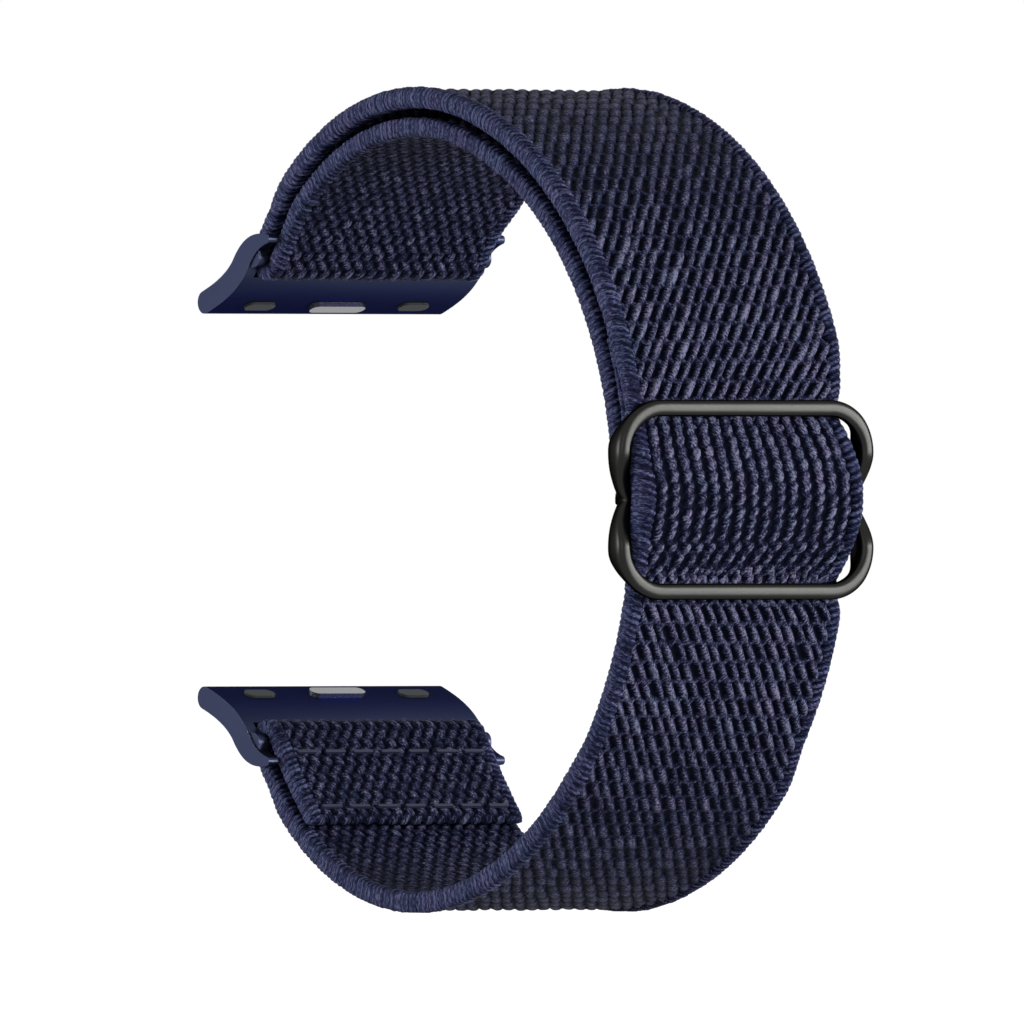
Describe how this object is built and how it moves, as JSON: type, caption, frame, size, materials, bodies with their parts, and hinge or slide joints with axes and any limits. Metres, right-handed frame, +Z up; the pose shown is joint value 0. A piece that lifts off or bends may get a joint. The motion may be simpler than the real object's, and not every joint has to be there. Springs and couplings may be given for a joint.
{
  "type": "nylon watch strap",
  "caption": "Elastic woven watch strap: a looped band through a slide buckle, with a sprung-catch lug for the watch case at each end.",
  "frame": {"origin": "on the axis of the wrist opening, at the middle of the band's width", "axes": "+X across the band, -Y towards the slide buckle, +Y towards the lugs and the watch case, +Z up to the upper lug and the doubled side of the band"},
  "size_m": [0.028, 0.07, 0.0752],
  "materials": {
    "webbing": "coarse woven elastic nylon, dark navy",
    "thread": "navy sewing thread",
    "buckle_metal": "satin gunmetal coating on a zinc casting",
    "lug_metal": "satin navy anodised",
    "steel": "drawn stainless",
    "rubber": "matt moulded"
  },
  "bodies": {
    "webbing": {"outer_run": "webbing", "return_layer": "webbing", "lower_fold": "webbing", "fold_stitches": "thread"},
    "slide_buckle": {"buckle_frame": "buckle_metal", "buckle_bar": "steel", "buckle_turn": "webbing"},
    "upper_lug_body": {"upper_lug": "lug_metal", "upper_strap_bar": "steel", "upper_lock_spring": "steel", "upper_lock_cover": "lug_metal", "upper_lug_pads": "rubber"},
    "upper_catch_body": {"upper_lock_catch": "steel"},
    "lower_lug_body": {"lower_lug": "lug_metal", "lower_strap_bar": "steel", "lower_lock_spring": "steel", "lower_lock_cover": "lug_metal", "lower_lug_pads": "rubber"},
    "lower_catch_body": {"lower_lock_catch": "steel"}
  },
  "joints": [
    {"name": "buckle_travel", "type": "hinge", "parent": "webbing", "child": "slide_buckle", "pos_m": [0, 0, 0], "axis": [1, 0, 0], "range_deg": [0, 18]},
    {"name": "upper_lug_tilt", "type": "hinge", "parent": "webbing", "child": "upper_lug_body", "pos_m": [0, 0.02289, 0.02232], "axis": [1, 0, 0], "range_deg": [-12, 12]},
    {"name": "lower_lug_tilt", "type": "hinge", "parent": "webbing", "child": "lower_lug_body", "pos_m": [0, 0.02289, -0.02232], "axis": [1, 0, 0], "range_deg": [-12, 12]},
    {"name": "upper_catch_press", "type": "slide", "parent": "upper_lug_body", "child": "upper_catch_body", "axis": [0, 0.3908, 0.9205], "range_m": [0, 0.00045], "stiffness_N_per_m": 2200, "springref_m": -0.0002, "deforming": ["upper_lock_spring"]},
    {"name": "lower_catch_press", "type": "slide", "parent": "lower_lug_body", "child": "lower_catch_body", "axis": [0, 0.3908, -0.9205], "range_m": [0, 0.00045], "stiffness_N_per_m": 2200, "springref_m": -0.0002, "deforming": ["lower_lock_spring"]}
  ]
}
